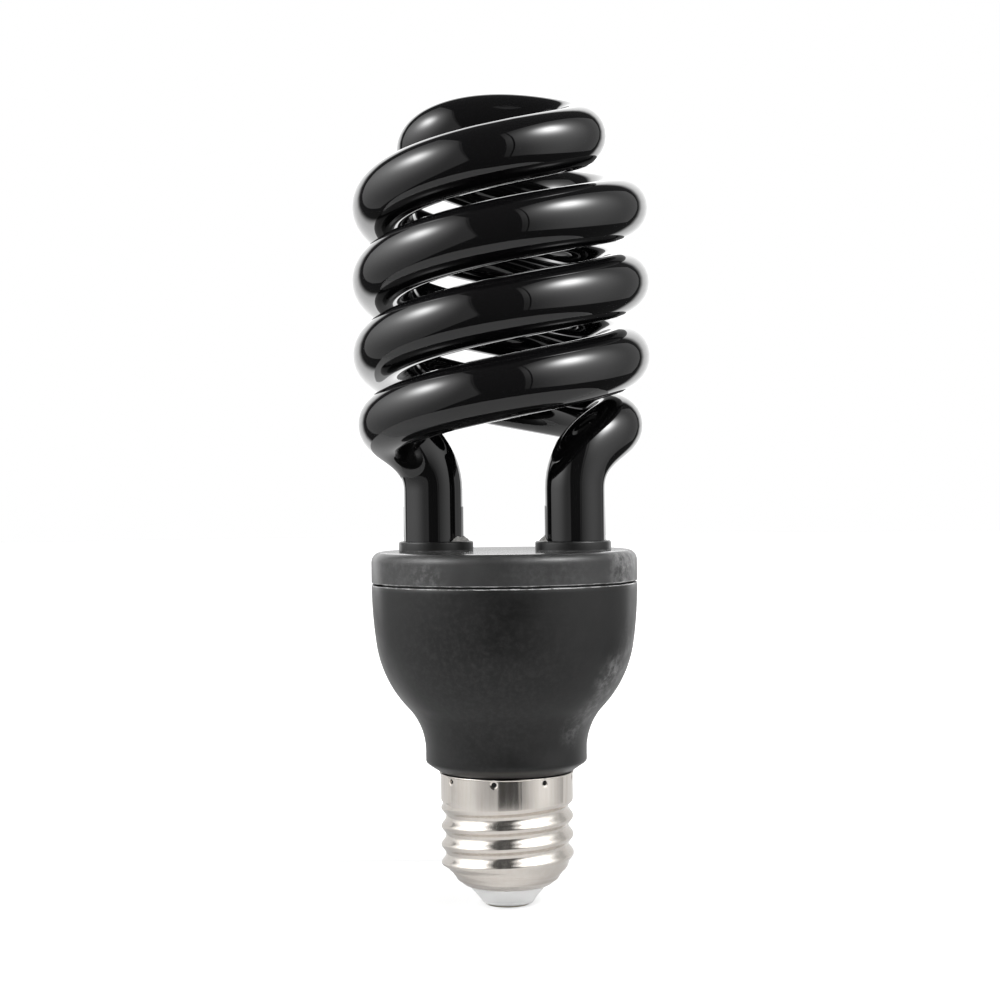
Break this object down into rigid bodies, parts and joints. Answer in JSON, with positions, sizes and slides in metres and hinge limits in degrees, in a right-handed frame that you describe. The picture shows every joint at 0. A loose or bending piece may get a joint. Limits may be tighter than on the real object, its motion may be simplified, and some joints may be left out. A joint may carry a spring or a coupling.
{
  "type": "compact fluorescent black light bulb",
  "caption": "Screw-base lamp with a black glass double-helix tube on a black bowl-shaped ballast housing, for near-ultraviolet light.",
  "frame": {"origin": "on the lamp axis, at the face of the centre contact", "axes": "+Z along the lamp axis from the contact towards the top of the coil, +X through the right leg's side"},
  "size_m": [0.059, 0.059, 0.1596],
  "materials": {
    "black_glass": "polished black glass that passes near ultraviolet",
    "lid_plastic": "satin black moulded plastic",
    "housing_plastic": "satin black moulded plastic",
    "nickel": "nickel-plated sheet metal",
    "white_insulator": "white moulded insulator",
    "brass": "plain brass",
    "cement": "pale grey cement",
    "board": "tan paper-phenolic laminate",
    "can_sleeve": "dark shrink sleeve",
    "ferrite": "sintered ferrite",
    "winding": "enamelled copper wire",
    "black_resin": "moulded resin",
    "film_resin": "dipped resin",
    "resistor_body": "painted ceramic body",
    "tinned_wire": "tinned wire",
    "wire_sleeve": "insulated wire"
  },
  "bodies": {
    "root": {"glass_spiral_tube": "black_glass", "housing_lid": "lid_plastic", "ballast_housing": "housing_plastic", "screw_shell": "nickel", "base_insulator": "white_insulator", "centre_contact": "brass", "leg_cement_left": "cement", "leg_cement_right": "cement", "circuit_board": "board", "smoothing_capacitor": "can_sleeve", "choke_core": "ferrite", "choke_winding": "winding", "drive_toroid": "ferrite", "power_transistor_a": "black_resin", "power_transistor_b": "black_resin", "film_capacitor_a": "film_resin", "film_capacitor_b": "film_resin", "fuse_resistor": "resistor_body", "live_lead": "wire_sleeve", "neutral_lead": "wire_sleeve", "rectifier_diode_1": "black_resin", "filament_lead_1": "tinned_wire", "rectifier_diode_2": "black_resin", "filament_lead_2": "tinned_wire", "rectifier_diode_3": "black_resin", "filament_lead_3": "tinned_wire", "rectifier_diode_4": "black_resin", "filament_lead_4": "tinned_wire"}
  },
  "joints": []
}
